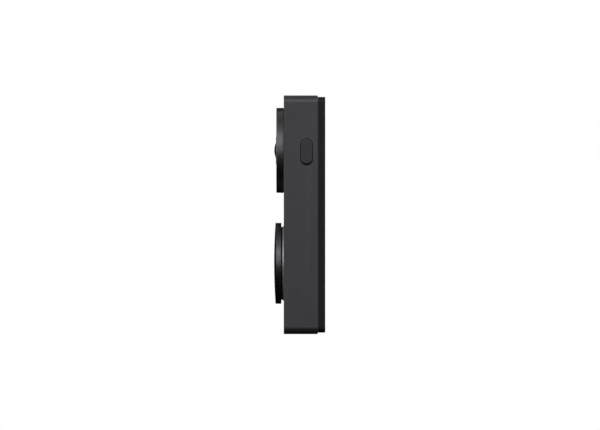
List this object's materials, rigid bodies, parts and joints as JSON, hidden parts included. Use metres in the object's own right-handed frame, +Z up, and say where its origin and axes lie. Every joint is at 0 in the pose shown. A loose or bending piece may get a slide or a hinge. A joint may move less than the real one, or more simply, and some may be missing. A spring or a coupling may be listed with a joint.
{
  "type": "video doorbell",
  "caption": "Upright battery video doorbell: slim case on a wall plate, a round camera disc above a domed bell button in a light ring, and a long key in one side.",
  "frame": {"origin": "centre of the wall plate's rear face, where it meets the wall", "axes": "+Z up, the front faces -Y, the side key is on +X"},
  "size_m": [0.0624, 0.0296, 0.138],
  "materials": {
    "wall_plate": "moulded, fine texture",
    "front_case": "moulded, fine texture",
    "rear_cover": "moulded",
    "cover_seal": "moulded",
    "cover_screws": "zinc plated",
    "camera_bezel": "satin",
    "bezel_gasket": "moulded",
    "camera_window": "polished, dark tint",
    "pir_lens": "satin",
    "pir_sensor": "nickel can",
    "lens_trim": "satin",
    "lens_dome": "coated",
    "lens_barrel": "black anodised",
    "lens_elements": "coated",
    "lens_holder": "moulded",
    "ir_cut_filter": "moulded",
    "filter_panes": "coated",
    "ir_cut_coil": "wound copper",
    "camera_board": "solder mask",
    "image_sensor": "package",
    "camera_board_screws": "zinc plated",
    "ir_led_board": "black solder mask",
    "ir_leds": "clear domes",
    "light_sensor": "clear",
    "camera_flex": "polyimide",
    "main_board": "solder mask",
    "board_screws": "zinc plated",
    "soc_shield": "tinned",
    "wifi_module": "tinned",
    "memory_chips": "package",
    "battery_connector": "moulded",
    "microphone": "plated can",
    "mic_boot": "moulded",
    "speaker": "moulded",
    "speaker_gasket": "foam",
    "antenna": "black solder mask",
    "usb_port": "plated",
    "terminal_tabs": "plain",
    "terminal_screws": "nickel plated",
    "battery_pack": "foil pouch",
    "battery_pad": "foam",
    "battery_leads": "insulated",
    "light_ring": "frosted",
    "ring_leds": "clear",
    "button_rim": "satin",
    "button_face": "polished",
    "button_retainer": "moulded",
    "retainer_screws": "zinc plated",
    "bell_switch": "moulded",
    "bell_switch_stem": "moulded",
    "side_key": "moulded, fine texture",
    "side_board": "solder mask",
    "side_switch": "moulded",
    "side_switch_stem": "moulded",
    "release_latch": "moulded",
    "latch_cap": "moulded"
  },
  "bodies": {
    "wall_plate": {"wall_plate": "wall_plate"},
    "case": {"front_case": "front_case", "rear_cover": "rear_cover", "cover_seal": "cover_seal", "cover_screws": "cover_screws", "camera_bezel": "camera_bezel", "bezel_gasket": "bezel_gasket", "camera_window": "camera_window", "pir_lens": "pir_lens", "pir_sensor": "pir_sensor", "lens_trim": "lens_trim", "lens_dome": "lens_dome", "lens_barrel": "lens_barrel", "lens_elements": "lens_elements", "lens_holder": "lens_holder", "ir_cut_coil": "ir_cut_coil", "camera_board": "camera_board", "image_sensor": "image_sensor", "camera_board_screws": "camera_board_screws", "ir_led_board": "ir_led_board", "ir_leds": "ir_leds", "light_sensor": "light_sensor", "camera_flex": "camera_flex", "main_board": "main_board", "board_screws": "board_screws", "soc_shield": "soc_shield", "wifi_module": "wifi_module", "memory_chips": "memory_chips", "battery_connector": "battery_connector", "microphone": "microphone", "mic_boot": "mic_boot", "speaker": "speaker", "speaker_gasket": "speaker_gasket", "antenna": "antenna", "usb_port": "usb_port", "terminal_tabs": "terminal_tabs", "terminal_screws": "terminal_screws", "battery_pack": "battery_pack", "battery_pad": "battery_pad", "battery_leads": "battery_leads", "light_ring": "light_ring", "ring_leds": "ring_leds", "bell_switch": "bell_switch", "side_board": "side_board", "side_switch": "side_switch", "latch_cap": "latch_cap"},
    "bell_button": {"button_rim": "button_rim", "button_face": "button_face", "button_retainer": "button_retainer", "retainer_screws": "retainer_screws", "bell_switch_stem": "bell_switch_stem"},
    "side_key": {"side_key": "side_key", "side_switch_stem": "side_switch_stem"},
    "ir_cut_filter": {"ir_cut_filter": "ir_cut_filter", "filter_panes": "filter_panes"},
    "release_latch": {"release_latch": "release_latch"}
  },
  "joints": [
    {"name": "case_lift", "type": "slide", "parent": "wall_plate", "child": "case", "axis": [0, 0, 1], "range_m": [0, 0.006]},
    {"name": "bell_button_press", "type": "slide", "parent": "case", "child": "bell_button", "axis": [0, 1, 0], "range_m": [0, 0.0003], "stiffness_N_per_m": 1500, "springref_m": -0.001},
    {"name": "side_key_press", "type": "slide", "parent": "case", "child": "side_key", "axis": [-1, 0, 0], "range_m": [0, 0.0004], "stiffness_N_per_m": 1200, "springref_m": -0.001},
    {"name": "ir_filter_slide", "type": "slide", "parent": "case", "child": "ir_cut_filter", "axis": [-1, 0, 0], "range_m": [0, 0.0052]},
    {"name": "latch_retract", "type": "slide", "parent": "case", "child": "release_latch", "axis": [0, -1, 0], "range_m": [0, 0.0015]}
  ],
  "couplings": [
    {"joint": "latch_retract", "follows": "case_lift", "ratio": 0.25}
  ]
}
